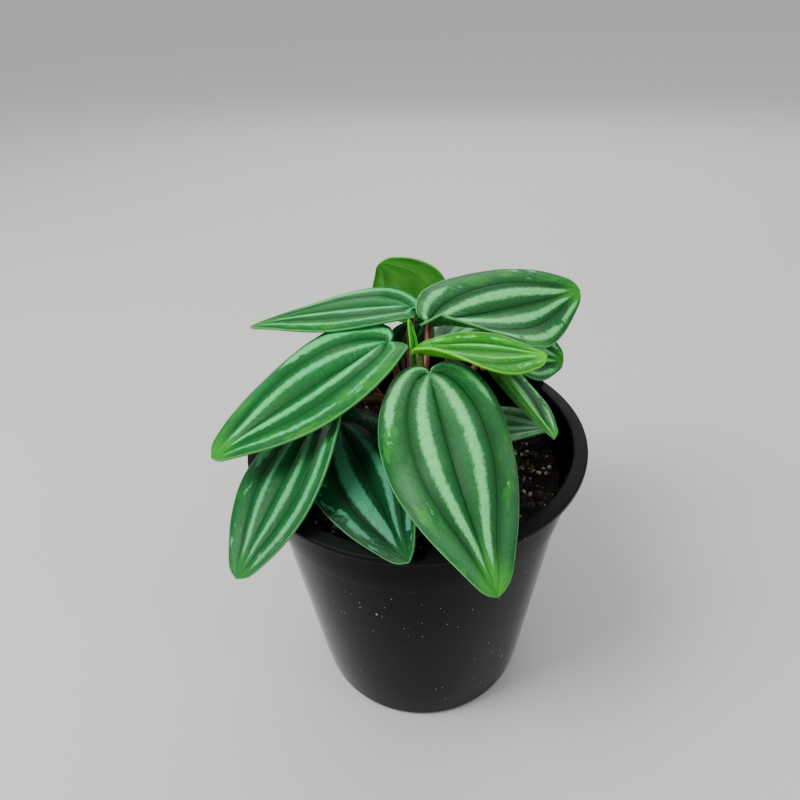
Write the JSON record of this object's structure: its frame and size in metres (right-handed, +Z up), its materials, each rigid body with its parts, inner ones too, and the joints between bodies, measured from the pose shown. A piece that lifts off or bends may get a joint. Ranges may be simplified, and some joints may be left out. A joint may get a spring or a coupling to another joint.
{
  "type": "potted peperomia",
  "caption": "Young potted peperomia: heart-based leaves with silver stripes on red-brown stalks, rooted in peat in a plain black nursery pot.",
  "frame": {"origin": "the middle of the pot's base, on the surface that it stands on", "axes": "+Z up along the pot's axis, -Y towards the side that the picture shows, +X to its right"},
  "size_m": [0.1128, 0.1389, 0.1297],
  "materials": {
    "pot_plastic": "gloss",
    "peat": "rough",
    "stem": "satin",
    "leaf_striped": "satin",
    "leaf_dark": "satin",
    "leaf_young": "satin"
  },
  "bodies": {
    "root": {"pot": "pot_plastic", "soil": "peat", "crown": "stem", "leaf_left": "leaf_striped", "leaf_front": "leaf_striped", "leaf_left_low": "leaf_dark", "leaf_front_low": "leaf_dark", "leaf_back_left": "leaf_striped", "leaf_back_upright": "leaf_young", "leaf_back_right": "leaf_striped", "leaf_new": "leaf_young", "leaf_right_behind": "leaf_striped", "leaf_right_folded": "leaf_striped", "leaf_right_low": "leaf_striped", "leaf_middle": "leaf_dark", "sprout": "leaf_young", "leaf_rear_left": "leaf_striped", "leaf_rear_right": "leaf_striped"}
  },
  "joints": []
}
